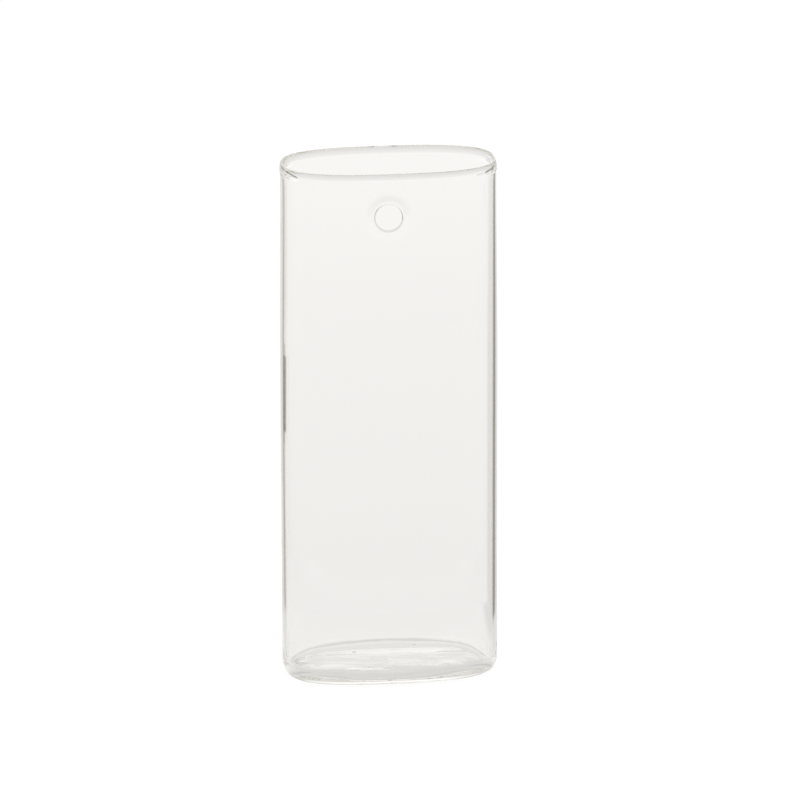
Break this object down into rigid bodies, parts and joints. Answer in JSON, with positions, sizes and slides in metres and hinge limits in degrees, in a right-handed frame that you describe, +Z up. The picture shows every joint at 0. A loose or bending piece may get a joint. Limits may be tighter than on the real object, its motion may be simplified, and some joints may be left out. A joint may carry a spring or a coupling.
{
  "type": "wall vase",
  "caption": "Flattened oval glass tube with a closed floor, a rounded rim and a round hanging hole near the top of its back wall.",
  "frame": {"origin": "middle of the flat underside", "axes": "+Z up to the rim, +X along the wide side, +Y out of the back wall that holds the hanging hole"},
  "size_m": [0.081, 0.041, 0.2],
  "materials": {
    "clear_glass": "clear, fire-polished"
  },
  "bodies": {
    "root": {"glass_body": "clear_glass"}
  },
  "joints": []
}
